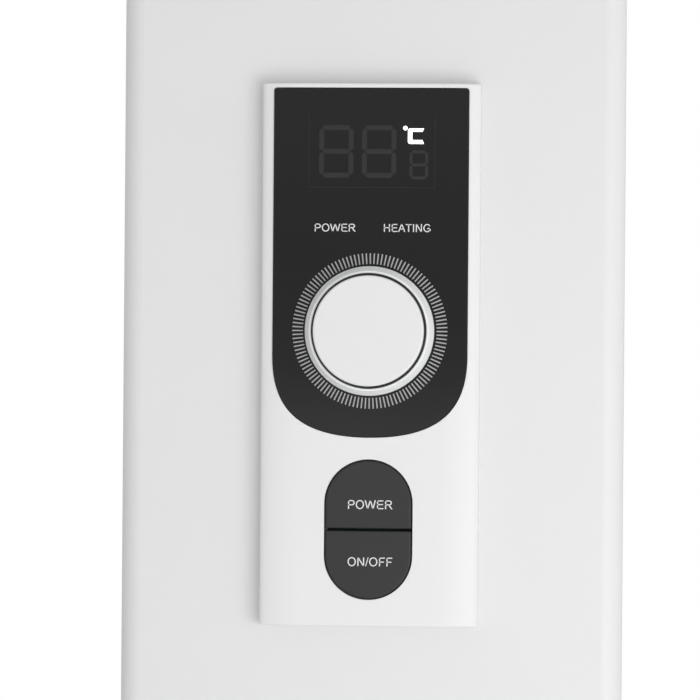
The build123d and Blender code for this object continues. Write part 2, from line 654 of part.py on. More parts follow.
with BuildPart() as knob_cap:
    with BuildSketch(Plane.XY.offset(KNOB_Z)):
        knob_ring_profile([(KNOB_CAP_R - KNOB_SHEET, KNOB_FLOOR), (KNOB_CAP_R, KNOB_FLOOR),
                           (KNOB_CAP_R, KNOB_HEIGHT), (0, KNOB_HEIGHT), (0, KNOB_HEIGHT - KNOB_SHEET),
                           (KNOB_CAP_R - KNOB_SHEET, KNOB_HEIGHT - KNOB_SHEET)])
    revolve(axis=KNOB_AXIS)
    fillet(knob_cap.edges().filter_by(GeomType.CIRCLE).sort_by(Axis.Y)[0], 0.8)
write(knob_cap.part, "knob_cap")

ENCODER_HEIGHT = 6.5
BUSHING_R = 3.9
with BuildPart() as encoder_body:
    with BuildSketch(at_depth(BOARD_DEPTH)):
        with Locations((0, KNOB_Z)):
            RectangleRounded(13, 13, 0.8)
    extrude(amount=ENCODER_HEIGHT)
    with BuildSketch(at_depth(BOARD_DEPTH - ENCODER_HEIGHT)):
        with Locations((0, KNOB_Z)):
            Circle(BUSHING_R)
    extrude(amount=7.0)
    with BuildSketch(at_depth(BOARD_DEPTH - 2.0)):
        with Locations((0, KNOB_Z)):
            Circle(SHAFT_R + RUNNING)
    extrude(amount=ENCODER_HEIGHT + 7.0, mode=Mode.SUBTRACT)
write(encoder_body.part, "encoder_body")

SHAFT_FOOT = BOARD_DEPTH - 2.2
FLAT_START = -GLASS_RISE
with BuildPart() as encoder_shaft:
    with BuildSketch(at_depth(SHAFT_FOOT)):
        with Locations((0, KNOB_Z)):
            Circle(SHAFT_R)
    extrude(amount=SHAFT_FOOT - FLAT_START)
    with BuildSketch(at_depth(FLAT_START)):
        with Locations((0, KNOB_Z)):
            Circle(SHAFT_R)
            with Locations((0, SHAFT_R + SHAFT_FLAT)):
                Rectangle(3 * SHAFT_R, 2 * SHAFT_R, mode=Mode.SUBTRACT)
    extrude(amount=SHAFT_TOP)
write(encoder_shaft.part, "encoder_shaft")

SWITCH_OFFSET = 12.0
SWITCH_HEIGHT = 3.5
PLUNGER_R = 1.75
PLUNGER_TOP = 0.2
CAP_THICKNESS = 4.0


def half_slot(grow, side):
    """The upper (side 1) or lower (side -1) half of the button pair's outline."""
    with Locations((0, BUTTONS_Z)):
        SlotOverall(BUTTON_LENGTH + 2 * grow, BUTTON_WIDTH + 2 * grow, rotation=90)
    with Locations((0, BUTTONS_Z - side * (BUTTON_LENGTH / 2 - BUTTON_SPLIT / 2))):
        Rectangle(2 * BUTTON_WIDTH, BUTTON_LENGTH, mode=Mode.SUBTRACT)


def make_button(name, side):
    """A push button: a half-capsule cap, a lip that holds it behind the panel, and a stem to its switch."""
    front = BEZEL_RISE + BUTTON_PROUD
    with BuildPart() as button:
        with BuildSketch(at_depth(-front + CAP_THICKNESS)):
            half_slot(0, side)
        extrude(amount=CAP_THICKNESS)
        fillet(button.faces().sort_by(Axis.Y)[0].edges(), 0.7)
        with BuildSketch(at_depth(-front + CAP_THICKNESS)):
            half_slot(BUTTON_LIP, side)
        extrude(amount=CAP_THICKNESS - BUTTON_PROUD - BEZEL_WALL - 0.2)
        with BuildSketch(at_depth(PLUNGER_TOP)):
            with Locations((0, BUTTONS_Z + side * SWITCH_OFFSET)):
                Circle(2.6)
        extrude(amount=front - CAP_THICKNESS + PLUNGER_TOP)
    write(button.part, name)


def make_plunger(name, side):
    """The switch's own plunger, which the button's stem pushes down."""
    with BuildPart() as plunger:
        with BuildSketch(at_depth(PLUNGER_TOP)):
            with Locations((0, BUTTONS_Z + side * SWITCH_OFFSET)):
                Circle(PLUNGER_R)
        extrude(amount=-3.8)
    write(plunger.part, name)


make_button("power_button", 1)
make_button("onoff_button", -1)
make_plunger("power_plunger", 1)
make_plunger("onoff_plunger", -1)

SWITCH_PLACES = [(0, BUTTONS_Z + side * SWITCH_OFFSET) for side in (-1, 1)]
with BuildPart() as switch_bodies:
    with BuildSketch(at_depth(BOARD_DEPTH)):
        with Locations(SWITCH_PLACES):
            RectangleRounded(6.2, 6.2, 0.5)
    extrude(amount=SWITCH_HEIGHT)
    with BuildSketch(at_depth(BOARD_DEPTH - 0.6)):
        with Locations(SWITCH_PLACES):
            Circle(PLUNGER_R + RUNNING)
    extrude(amount=SWITCH_HEIGHT, mode=Mode.SUBTRACT)
write(switch_bodies.part, "switch_bodies")

with BuildPart() as control_board:
    with BuildSketch(at_depth(BOARD_DEPTH + BOARD_THICKNESS)):
        with Locations((0, BEZEL_MID_Z)):
            RectangleRounded(BOARD_WIDTH, BOARD_HEIGHT, 2)
        with Locations(BOARD_POSTS):
            Circle(PILOT_R + 0.2, mode=Mode.SUBTRACT)
    extrude(amount=BOARD_THICKNESS)
    # microcontroller and connector on the back
    with BuildSketch(at_depth(BOARD_DEPTH + BOARD_THICKNESS)):
        with Locations((-8, BEZEL_MID_Z + 20)):
            Rectangle(12, 12)
        with Locations((14, BEZEL_MID_Z - 20)):
            Rectangle(22, 7)
    extrude(amount=-2.4)
write(control_board.part, "control_board")


def digit_segments(centre_x, centre_z, width, height, stroke):
    """Seven bars of a numeral, as slots on the current sketch."""
    half_w = width / 2 - stroke / 2
    half_h = height / 2 - stroke / 2
    bars = [(0, half_h, 0), (0, 0, 0), (0, -half_h, 0)]
    bars += [(x, z, 90) for x in (-half_w, half_w) for z in (-half_h / 2, half_h / 2)]
    for x, z, turn in bars:
        length = (width if turn == 0 else half_h + stroke) - 1.3 * stroke
        with Locations((centre_x + x, centre_z + z)):
            SlotOverall(length, stroke * 0.8, rotation=turn)


with BuildPart() as display_module:
    with BuildSketch(at_depth(BOARD_DEPTH)):
        with Locations((0, DISPLAY_Z)):
            Rectangle(DISPLAY_WIDTH, DISPLAY_HEIGHT)
    extrude(amount=BOARD_DEPTH + 8.4)
    with BuildSketch(at_depth(-8.4)):
        digit_segments(-13.5, DISPLAY_Z, 13.3, 20.3, 1.9)
        digit_segments(3.1, DISPLAY_Z, 13.3, 20.3, 1.9)
        digit_segments(18.5, DISPLAY_Z - 5.0, 7.0, 11.2, 1.2)
    extrude(amount=-0.4, mode=Mode.SUBTRACT)
    # the two indicator lamps below the digits
    with BuildSketch(at_depth(BOARD_DEPTH)):
        with Locations(LAMP_PLACES):
            SlotOverall(12, 3)
    extrude(amount=BOARD_DEPTH + 2.4)
write(display_module.part, "display_module")

with BuildPart() as panel_screws:
    for places, head_depth, reach in ((PANEL_SCREWS, COVER_WALL, 7.0),
                                      (BOARD_POSTS, BOARD_DEPTH + BOARD_THICKNESS, 5.6)):
        with BuildSketch(at_depth(head_depth)):
            with Locations(places):
                Circle(2.7)
        extrude(amount=-1.9)
        with BuildSketch(at_depth(head_depth)):
            with Locations(places):
                Circle(SHANK_R)
        extrude(amount=reach)
write(panel_screws.part, "panel_screws")

with BuildPart() as case_screws:
    with BuildSketch(at_depth(BOX_DEPTH - 8.0)):
        with Locations(COVER_POSTS):
            Circle(3.8)
    extrude(amount=-2.6)
    with BuildSketch(at_depth(BOX_DEPTH - 8.0)):
        with Locations(COVER_POSTS):
            Circle(CASE_PILOT_R - RUNNING)
    extrude(amount=BOX_DEPTH - 8.0 - 12.0)
    with BuildSketch(at_depth(BOX_DEPTH - BOX_WALL)):
        with Locations(SHIELD_SCREWS):
            Circle(3.2)
    extrude(amount=2.2)
    with BuildSketch(at_depth(BOX_DEPTH - BOX_WALL)):
        with Locations(SHIELD_SCREWS):
            Circle(1.5)
    extrude(amount=-(SHIELD_DEPTH - BOX_DEPTH + BOX_WALL + 4.0))
    # the handle's two bolts, from inside the housing
    bolt_under = HANDLE_FOOT - BOX_WALL - 0.7
    with BuildSketch(Plane.XY.offset(bolt_under)):
        with Locations(HANDLE_BOLTS):
            Circle(4.2)
    extrude(amount=-3.0)
    with BuildSketch(Plane.XY.offset(bolt_under)):
        with Locations(HANDLE_BOLTS):
            Circle(2.05)
    extrude(amount=15.0)
write(case_screws.part, "case_screws")

# ================================================================ power electronics on the housing's floor
POWER_DEPTH = 74.0
POWER_Z = 250.0
with BuildPart() as power_board:
    with BuildSketch(at_depth(POWER_DEPTH + BOARD_THICKNESS)):
        with Locations((0, POWER_Z)):
            RectangleRounded(120, 96, 3)
    extrude(amount=BOARD_THICKNESS)
    # spacers down to the back wall
    with BuildSketch(at_depth(POWER_DEPTH + BOARD_THICKNESS)):
        with Locations((0, POWER_Z)):
            with GridLocations(106, 82, 2, 2):
                Circle(3.5)
    extrude(amount=-(BOX_DEPTH - BOX_WALL - POWER_DEPTH - BOARD_THICKNESS))
write(power_board.part, "power_board")

with BuildPart() as relays:
    with BuildSketch(at_depth(POWER_DEPTH)):
        with Locations((-36, POWER_Z - 26), (-12, POWER_Z - 26)):
            RectangleRounded(19, 15.5, 1)
    extrude(amount=15.5)
    fillet(relays.faces().group_by(Axis.Y)[0].edges(), 0.8)
write(relays.part, "relays")

with BuildPart() as transformer:
    with BuildSketch(at_depth(POWER_DEPTH)):
        with Locations((30, POWER_Z + 18)):
            Rectangle(34, 28)
    extrude(amount=20)
    with BuildSketch(at_depth(POWER_DEPTH - 4)):
        with Locations((30, POWER_Z + 18)):
            RectangleRounded(24, 38, 4)
    extrude(amount=12)
write(transformer.part, "transformer")

with BuildPart() as terminal_block:
    with BuildSketch(at_depth(POWER_DEPTH)):
        with Locations((24, POWER_Z - 28)):
            Rectangle(46, 16)
    extrude(amount=14)
    with BuildSketch(at_depth(POWER_DEPTH - 14)):
        with Locations((24, POWER_Z - 28)):
            with GridLocations(9, 0, 5, 1):
                Circle(2.6)
    extrude(amount=-6, mode=Mode.SUBTRACT)
write(terminal_block.part, "terminal_block")

# bimetal cut-out pressed on the first fin's channel
with BuildPart() as overheat_cutout:
    face_depth = FIRST_FIN_DEPTH - CHANNEL_HALF_DEPTH
    with BuildSketch(at_depth(face_depth)):
        with Locations((CHANNEL_X, 420)):
            Circle(8.5)
    extrude(amount=5.0)
    with BuildSketch(at_depth(face_depth - 5.0)):
        with Locations((CHANNEL_X, 420)):
            Circle(7.0)
    extrude(amount=6.0)
    with BuildSketch(at_depth(face_depth - 11.0)):
        with Locations((CHANNEL_X, 420)):
            with GridLocations(8, 0, 2, 1):
                Rectangle(0.8, 6.3)
    extrude(amount=6.0)
write(overheat_cutout.part, "overheat_cutout")

# room thermistor in a clip by the lower side vents
with BuildPart() as room_sensor:
    with BuildSketch(Plane.XY.offset(150)):
        with Locations((-84.0, COVER_Y + MIDDLE_DEPTH)):
            RectangleRounded(7, 10, 1.5)
    extrude(amount=6)
    with BuildSketch(Plane.XY.offset(156)):
        with Locations((-84.0, COVER_Y + MIDDLE_DEPTH)):
            Circle(2.2)
    extrude(amount=14)
    fillet(room_sensor.faces().sort_by(Axis.Z)[-1].edges(), 2.0)
write(room_sensor.part, "room_sensor")

# ================================================================ tip-over switch: a weight on a swinging arm
TIP_X = 48.0
TIP_Y = COVER_Y + MIDDLE_DEPTH
TIP_BASE = BOX_BOTTOM + BOX_WALL + 0.7
TIP_PIVOT = TIP_BASE + 40.0
TIP_HALF = 8.0
CHEEK = 2.4
with BuildPart() as tip_switch_body:
    with BuildSketch(Plane.XY.offset(TIP_BASE)):
        with Locations((TIP_X, TIP_Y)):
            Rectangle(44, 2 * (TIP_HALF + CHEEK))
    extrude(amount=3.0)
    for cheek_y in (TIP_Y - TIP_HALF, TIP_Y + TIP_HALF + CHEEK):
        with BuildSketch(Plane.XZ.offset(-cheek_y)):
            with BuildLine():
                Polyline((TIP_X - 20, TIP_BASE + 3), (TIP_X - 6, TIP_PIVOT + 6), (TIP_X + 6, TIP_PIVOT + 6),
                         (TIP_X + 20, TIP_BASE + 3), close=True)
            make_face()
            with Locations((TIP_X, TIP_PIVOT)):
                Circle(1.5 + RUNNING, mode=Mode.SUBTRACT)
        extrude(amount=CHEEK)
    # micro switch on the rear cheek
    with BuildSketch(Plane.XZ.offset(-(TIP_Y + TIP_HALF + CHEEK))):
        with Locations((TIP_X, TIP_BASE + 14)):
            Rectangle(20, 10)
    extrude(amount=-6.0)
write(tip_switch_body.part, "tip_switch_body")

with BuildPart() as tip_pendulum:
    with BuildSketch(Plane.XZ.offset(-(TIP_Y + 2))):
        with Locations((TIP_X, TIP_PIVOT - 12)):
            SlotOverall(32, 8, rotation=90)
    extrude(amount=4)
    with BuildSketch(Plane.XZ.offset(-(TIP_Y + 6))):
        with Locations((TIP_X, TIP_PIVOT - 24)):
            Circle(8.5)
    extrude(amount=12)
    with BuildSketch(Plane.XZ.offset(-(TIP_Y + TIP_HALF + CHEEK))):
        with Locations((TIP_X, TIP_PIVOT)):
            Circle(1.5)
    extrude(amount=2 * (TIP_HALF + CHEEK))
write(tip_pendulum.part, "tip_pendulum")

# ================================================================ cord hooks on the rear fin
HOOKS_Z = 330.0
HOOK_SPAN = 120.0
PLATE_DEPTH = LAST_HUB_DEPTH + 3.0
FIN_FACE = LAST_FIN_DEPTH + CHANNEL_HALF_DEPTH


def make_horn(side):
    """One hook: a flat stem and an end plate that leans outward, up (side 1) or down (side -1)."""
    stem_z = HOOKS_Z + side * HOOK_SPAN / 2
    with BuildPart() as horn:
        with BuildSketch(at_depth(PLATE_DEPTH + 2.0)):
            with Locations((0, stem_z)):
                RectangleRounded(44, 11, 4)
        extrude(amount=-(CORD_HOOK_REACH - 3.0))
        with BuildSketch(at_depth(PLATE_DEPTH + CORD_HOOK_REACH - 5.0)):
            with Locations((0, stem_z + side * 10)):
                RectangleRounded(56, 32, 9)
        extrude(amount=-5.0)
        fillet(horn.faces().sort_by(Axis.Y)[-1].edges(), 1.6)
    return horn.part


horns = [make_horn(side) for side in (-1, 1)]
with BuildPart() as cord_hooks:
    with BuildSketch(at_depth(PLATE_DEPTH)):
        with Locations((0, HOOKS_Z)):
            RectangleRounded(66, HOOK_SPAN + 50, 14)
    extrude(amount=-3.0)
    add(horns)
    # legs to the fin's channels
    with BuildSketch(at_depth(FIN_FACE)):
        with Locations((0, HOOKS_Z)):
            with GridLocations(2 * CHANNEL_X, 140, 2, 2):
                Circle(6.0)
    extrude(amount=-(PLATE_DEPTH - FIN_FACE))
write(cord_hooks.part, "cord_hooks")

# ================================================================ straps and casters
def make_strap(name, centre_y):
    """A steel strap across the bottom of two fins, with turned-down edges and bolt holes."""
    with BuildPart() as strap:
        with BuildSketch(Plane.XY.offset(STRAP_BOTTOM)):
            with Locations((0, centre_y)):
                RectangleRounded(STRAP_LENGTH, STRAP_WIDTH, 12)
        extrude(amount=STRAP_THICKNESS)
        # stiffening lips under the long edges
        with BuildSketch(Plane.XY.offset(STRAP_BOTTOM - 5.0)):
            with Locations((0, centre_y)):
                with GridLocations(0, STRAP_WIDTH - 2.0, 1, 2):
                    Rectangle(150, 2.0)
        extrude(amount=5.0)
        with BuildSketch(Plane.XY.offset(STRAP_BOTTOM)):
            with Locations((-UBOLT_BEND_R, centre_y), (UBOLT_BEND_R, centre_y)):
                Circle(UBOLT_WIRE_R + 0.4)
            with Locations((-CASTER_X, centre_y), (CASTER_X, centre_y)):
                Circle(STEM_R + RUNNING)
        extrude(amount=STRAP_THICKNESS, mode=Mode.SUBTRACT)
    write(strap.part, name)


make_strap("front_strap", FRONT_CASTER_Y)
make_strap("rear_strap", REAR_CASTER_Y)

UBOLT_FOOT = STRAP_BOTTOM - 16.0
with BuildPart() as u_bolts:
    for centre_y in (FRONT_CASTER_Y, REAR_CASTER_Y):
        with BuildLine() as bolt_line:
            up = Line((-UBOLT_BEND_R, centre_y, UBOLT_FOOT), (-UBOLT_BEND_R, centre_y, HUB_LOW_Z))
            crest = (0, centre_y, HUB_LOW_Z + UBOLT_BEND_R)
            over = ThreePointArc(up @ 1, crest, (UBOLT_BEND_R, centre_y, HUB_LOW_Z))
            Line(over @ 1, (UBOLT_BEND_R, centre_y, UBOLT_FOOT))
        with BuildSketch(Plane(origin=bolt_line.line @ 0, z_dir=bolt_line.line % 0)):
            Circle(UBOLT_WIRE_R)
        sweep(path=bolt_line.line)
write(u_bolts.part, "u_bolts")

NUT_HIGH = 9.0
with BuildPart() as wing_nuts:
    for centre_y in (FRONT_CASTER_Y, REAR_CASTER_Y):
        for x in (-UBOLT_BEND_R, UBOLT_BEND_R):
            with BuildSketch(Plane.XY.offset(STRAP_BOTTOM - NUT_HIGH)):
                with Locations((x, centre_y)):
                    Circle(5.5)
            extrude(amount=NUT_HIGH)
            with BuildSketch(Plane.XZ.offset(-(centre_y + 1.2))):
                with BuildLine():
                    left_wing = [(-4, -2), (-13, -8), (-13, -16), (-8, -16), (-4, -9)]
                    wings = left_wing + [(-across, down) for across, down in reversed(left_wing)]
                    Polyline(*[(x + across, STRAP_BOTTOM + down) for across, down in wings], close=True)
                make_face()
                fillet(vertices().group_by(Axis.Y)[0], 2)
            extrude(amount=2.4)
            with BuildSketch(Plane.XY.offset(STRAP_BOTTOM - NUT_HIGH)):
                with Locations((x, centre_y)):
                    Circle(UBOLT_WIRE_R + RUNNING)
            extrude(amount=NUT_HIGH, mode=Mode.SUBTRACT)
write(wing_nuts.part, "wing_nuts")

CASTER_PLACES = {
    "front_left": (-CASTER_X, FRONT_CASTER_Y),
    "front_right": (CASTER_X, FRONT_CASTER_Y),
    "rear_left": (-CASTER_X, REAR_CASTER_Y),
    "rear_right": (CASTER_X, REAR_CASTER_Y),
}
with BuildPart() as caster_stems:
    for x, y in CASTER_PLACES.values():
        disc_low = FORK_TOP - FORK_DISC
        levels = ((disc_low - 2.2, 7.0, 2.0), (disc_low - 0.2, STEM_R, FORK_DISC + 0.4),
                  (FORK_TOP + 0.2, 9.0, STRAP_BOTTOM - FORK_TOP - 0.2), (STRAP_BOTTOM, STEM_R, 5.5),
                  (FIN_BOTTOM, 7.0, 2.4))
        for low, radius, length in levels:
            with BuildSketch(Plane.XY.offset(low)):
                with Locations((x, y)):
                    Circle(radius)
            extrude(amount=length)
write(caster_stems.part, "caster_stems")


def make_caster(name, x, y):
    """Fork, wheel and axle of one caster, with the wheel trailing behind the stem."""
    axle_y = y + WHEEL_TRAIL
    arm_inner = WHEEL_WIDTH / 2 + ARM_GAP
    disc_low = FORK_TOP - FORK_DISC
    with BuildPart() as fork:
        with BuildSketch(Plane.XY.offset(disc_low)):
            with Locations((x, y)):
                Circle(FORK_DISC_R)
            with Locations((x, y + WHEEL_TRAIL / 2)):
                Rectangle(2 * (arm_inner + ARM_THICKNESS), WHEEL_TRAIL)
        extrude(amount=FORK_DISC)
        fillet(fork.faces().sort_by(Axis.Z)[-1].edges(), 1.5)
        for side in (-1, 1):
            arm_plane = Plane.YZ.offset(x + side * (arm_inner + ARM_THICKNESS / 2))
            with BuildSketch(arm_plane):
                with BuildLine():
                    Polyline((y - 8, disc_low + 2), (y - 6, disc_low - 4), (axle_y - 8, WHEEL_R - 1),
                             (axle_y + 8, WHEEL_R - 1), (axle_y + 9, disc_low - 6), (axle_y, disc_low + 2),
                             close=True)
                make_face()
                with Locations((axle_y, WHEEL_R)):
                    Circle(8.0)
                    Circle(AXLE_R, mode=Mode.SUBTRACT)
            extrude(amount=ARM_THICKNESS / 2, both=True)
        # bore for the stem
        with BuildSketch(Plane.XY.offset(disc_low - 2.6)):
            with Locations((x, y)):
                Circle(STEM_R + RUNNING)
        extrude(amount=FORK_DISC + 2.6, mode=Mode.SUBTRACT)
    write(fork.part, f"caster_fork_{name}")

    with BuildPart() as wheel:
        with BuildSketch(Plane.YZ.offset(x)):
            with Locations((axle_y, WHEEL_R)):
                Circle(WHEEL_R)
        extrude(amount=WHEEL_WIDTH / 2, both=True)
        fillet(wheel.edges().filter_by(GeomType.CIRCLE), 2.4)
        for side in (-1, 1):
            with BuildSketch(Plane.YZ.offset(x + side * WHEEL_WIDTH / 2)):
                with Locations((axle_y, WHEEL_R)):
                    Circle(WHEEL_R - 5.0)
                    Circle(6.0, mode=Mode.SUBTRACT)
            extrude(amount=-side * 5.5, mode=Mode.SUBTRACT)
            # spokes
            with BuildSketch(Plane.YZ.offset(x)):
                for spoke in range(5):
                    turn = 90 + 72 * spoke
                    reach = (6.0 + WHEEL_R - 5.0) / 2
                    place = (axle_y + reach * cos(radians(turn)), WHEEL_R + reach * sin(radians(turn)))
                    with Locations(place):
                        Rectangle(WHEEL_R - 9.0, 3.0, rotation=turn)
            extrude(amount=side * (WHEEL_WIDTH / 2 - 1.5))
        with BuildSketch(Plane.YZ.offset(x)):
            with Locations((axle_y, WHEEL_R)):
                Circle(AXLE_R + RUNNING)
        extrude(amount=WHEEL_WIDTH / 2, both=True, mode=Mode.SUBTRACT)
    write(wheel.part, f"caster_wheel_{name}")

    with BuildPart() as axle:
        with BuildSketch(Plane.YZ.offset(x)):
            with Locations((axle_y, WHEEL_R)):
                Circle(AXLE_R)
        extrude(amount=arm_inner + ARM_THICKNESS, both=True)
        for side in (-1, 1):
            with BuildSketch(Plane.YZ.offset(x + side * (arm_inner + ARM_THICKNESS))):
                with Locations((axle_y, WHEEL_R)):
                    Circle(4.0)
            extrude(amount=side * 1.2)
    write(axle.part, f"wheel_axle_{name}")


for caster_name, (caster_x, caster_y) in CASTER_PLACES.items():
    make_caster(caster_name, caster_x, caster_y)
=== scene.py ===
# %% [markdown]
# # An oil filled radiator heater with a digital control panel
#
# Seven hollow steel fins stand on four casters, and a white plastic box hangs on the front fin.  The box's
# flat cover carries the part that people look at: a raised, glossy panel with a black window, a turning
# knob and two push buttons.  This lesson loads the finished model, gives every piece its finish, and adds
# the things too thin for a solid model: printed words, the ring of ticks and the bars of the numerals.

# %% Load the finished model
import json
import math

import bmesh
import bpy
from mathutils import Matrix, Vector


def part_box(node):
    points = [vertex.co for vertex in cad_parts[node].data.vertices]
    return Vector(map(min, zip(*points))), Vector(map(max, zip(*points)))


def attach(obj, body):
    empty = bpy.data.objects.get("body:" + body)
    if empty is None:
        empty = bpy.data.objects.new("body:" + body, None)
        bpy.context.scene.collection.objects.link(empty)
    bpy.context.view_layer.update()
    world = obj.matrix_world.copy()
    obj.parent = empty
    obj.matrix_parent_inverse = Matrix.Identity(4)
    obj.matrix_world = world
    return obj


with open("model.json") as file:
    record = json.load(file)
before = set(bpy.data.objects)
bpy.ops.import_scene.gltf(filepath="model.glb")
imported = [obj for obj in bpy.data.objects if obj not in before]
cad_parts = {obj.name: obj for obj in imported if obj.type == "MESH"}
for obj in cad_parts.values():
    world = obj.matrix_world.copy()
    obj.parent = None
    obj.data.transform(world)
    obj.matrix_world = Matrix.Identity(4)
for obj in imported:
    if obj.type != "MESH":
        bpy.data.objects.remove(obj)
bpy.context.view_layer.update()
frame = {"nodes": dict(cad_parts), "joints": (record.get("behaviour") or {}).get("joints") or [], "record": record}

nodes = frame["nodes"]

# %% [markdown]
# ## Shader maths in plain Python
#
# A finish is a small network of nodes.  Wiring it by hand hides the idea behind it, so one class wraps a
# node's socket and lets it take part in ordinary sums: `1 - mask * 0.2` adds the Math nodes by itself.
# Every other node comes from one method that takes its kind, its settings and what feeds its sockets.


# %% A socket that can be added and multiplied
class Wire:
    """One output socket, usable in arithmetic: each operator adds a Math node to the same material."""

    def __init__(self, finish, socket):
        self.finish = finish
        self.socket = socket

    def _sum(self, operation, first, second):
        return self.finish.node("ShaderNodeMath", {"operation": operation}, {0: first, 1: second})

    def __add__(self, other):
        return self._sum("ADD", self, other)

    def __radd__(self, other):
        return self._sum("ADD", other, self)

    def __sub__(self, other):
        return self._sum("SUBTRACT", self, other)

    def __rsub__(self, other):
        return self._sum("SUBTRACT", other, self)

    def __mul__(self, other):
        return self._sum("MULTIPLY", self, other)

    def __rmul__(self, other):
        return self._sum("MULTIPLY", other, self)

    def __truediv__(self, other):
        return self._sum("DIVIDE", self, other)

    def __rtruediv__(self, other):
        return self._sum("DIVIDE", other, self)

    def __pow__(self, other):
        return self._sum("POWER", self, other)


# %% A material that is built from wires
class Finish:
    """A material, or the surroundings, under construction: a shader and whatever feeds it."""

    def __init__(self, name, owner=None):
        self.material = owner or bpy.data.materials.new(name)
        self.material.use_nodes = True
        self.tree = self.material.node_tree
        self.tree.nodes.clear()

    def node(self, kind, settings=None, inputs=None, output=0):
        """Adds a node: settings first, then what feeds its sockets.  Returns one output as a Wire."""
        made = self.tree.nodes.new(kind)
        for key, value in (settings or {}).items():
            if key == "stops":
                fill_ramp(made.color_ramp, value)
            else:
                setattr(made, key, value)
        for key, value in (inputs or {}).items():
            if isinstance(value, Wire):
                self.tree.links.new(value.socket, made.inputs[key])
            else:
                made.inputs[key].default_value = value
        return Wire(self, made.outputs[output])

    def place(self):
        """Object coordinates, in metres, which are the same for every piece of the model."""
        return self.node("ShaderNodeTexCoord", output="Object")

    def noise(self, size, detail=2.0, roughness=0.5, stretch=(1, 1, 1)):
        """Smooth noise from 0 to 1 whose blotches are about that many metres across."""
        spread = self.node("ShaderNodeMapping", {}, {"Vector": self.place(), "Scale": stretch})
        sockets = {"Vector": spread, "Scale": 1 / size, "Detail": detail, "Roughness": roughness}
        return self.node("ShaderNodeTexNoise", {}, sockets)

    def blend(self, factor, first, second):
        """Mixes two colours by a factor."""
        settings = {"data_type": "RGBA"}
        return self.node("ShaderNodeMix", settings, {"Factor": factor, "A": first, "B": second}, "Result")

    def bump(self, height, depth, strength=1.0):
        """A normal that is bent by a height field, whose full range is that many metres deep."""
        return self.node("ShaderNodeBump", {}, {"Height": height, "Distance": depth, "Strength": strength})

    def done(self, **sockets):
        """Closes the finish with a Principled shader and returns the material."""
        names = {key.replace("_", " ").title().replace("Ior", "IOR"): value for key, value in sockets.items()}
        shader = self.node("ShaderNodeBsdfPrincipled", {}, names, "BSDF")
        output = self.tree.nodes.new("ShaderNodeOutputMaterial")
        self.tree.links.new(shader.socket, output.inputs["Surface"])
        return self.material


def fill_ramp(ramp, stops):
    """Gives a colour ramp its stops, as (position, colour) pairs."""
    while len(ramp.elements) < len(stops):
        ramp.elements.new(0.5)
    for element, (position, colour) in zip(ramp.elements, stops):
        element.position = position
        element.color = colour


def grey(level, tint=(1, 1, 1)):
    """A colour of that linear level, with a slight tint."""
    return (level * tint[0], level * tint[1], level * tint[2], 1)


# %% [markdown]
# ## Finishes
#
# Moulded white plastic is never one flat colour.  It has a soft cloudiness, a roughness that wanders a
# little where hands and cleaning cloths have been, and a skin with a very shallow ripple.  Each finish
# here has those three things at its own scale.  The real sizes are what sells them: a ripple of a few
# thousandths of a millimetre is felt in the highlight and never seen as relief.


# %% White plastics
def moulded(name, level, roughness, tint=(1, 1, 1), ripple=0.000004, ripple_size=0.0016, cloud=0.012):
    """Smooth moulded plastic: cloudy colour, wandering roughness and a shallow ripple in the skin."""
    finish = Finish(name)
    clouds = finish.noise(0.06, 3)
    fine = finish.noise(ripple_size, 2)
    handled = finish.noise(0.025, 4, 0.6)
    colour = finish.blend(clouds, grey(level * (1 - cloud), tint), grey(level * (1 + cloud), tint))
    return finish.done(
        base_color=colour,
        roughness=roughness + (handled - 0.5) * 0.10,
        normal=finish.bump(fine, ripple),
    )


cover_white = moulded("cover_white", 0.77, 0.46, ripple=0.0000015, ripple_size=0.003)
panel_white = moulded("panel_white", 0.80, 0.46, ripple=0.0000015, ripple_size=0.004)
knob_white = moulded("knob_white", 0.78, 0.42, ripple=0.000002, ripple_size=0.0009)
print("white plastics:", cover_white.name, panel_white.name, knob_white.name)


# %% [markdown]
# The knob's ring is painted plastic with fine pearl flakes, which make it a slightly cooler white than
# the cap.  Flakes are tiny cells: a Voronoi texture with cells a tenth of a millimetre across gives each
# one its own brightness.


# %% Pearl paint
FLAKES_PER_METRE = 9000


def pearl(name):
    """Pale pearl paint: flakes of slightly different brightness under a thin clear coat."""
    finish = Finish(name)
    cells = {"Vector": finish.place(), "Scale": FLAKES_PER_METRE}
    flakes = finish.node("ShaderNodeTexVoronoi", {}, cells, "Color")
    sparkle = finish.node("ShaderNodeRGBToBW", {}, {0: flakes})
    colour = finish.blend(sparkle, grey(0.89, (0.975, 0.99, 1)), grey(0.95, (0.985, 0.995, 1)))
    rough = 0.34 + sparkle * 0.06
    return finish.done(base_color=colour, roughness=rough, coat_weight=0.25, coat_roughness=0.15)


ring_pearl = pearl("ring_pearl")
print("pearl paint:", ring_pearl.name)


# %% [markdown]
# The window is tinted acrylic with black paint behind it.  Almost all of what one sees in it is
# reflection, so its colour hardly matters and its smoothness does: a faint film of wiping marks, long in
# one direction, keeps the reflection from looking like a mirror's.


# %% Black window
def black_window(name):
    """Near-black glossy sheet with very faint wiping marks."""
    finish = Finish(name)
    wiped = finish.noise(0.012, 5, 0.65, stretch=(0.5, 1, 1.6))
    haze = finish.noise(0.05, 2)
    colour = finish.blend(haze, grey(0.0035), grey(0.0055))
    return finish.done(base_color=colour, roughness=0.05 + wiped * 0.05, ior=1.49)


window_black = black_window("window_black")
print("window:", window_black.name)


# %% [markdown]
# The buttons, the handle, the hooks and the casters are dark plastics.  The buttons are satin and nearly
# smooth; the others come from a spark-eroded mould, which leaves a fine leathery grain.


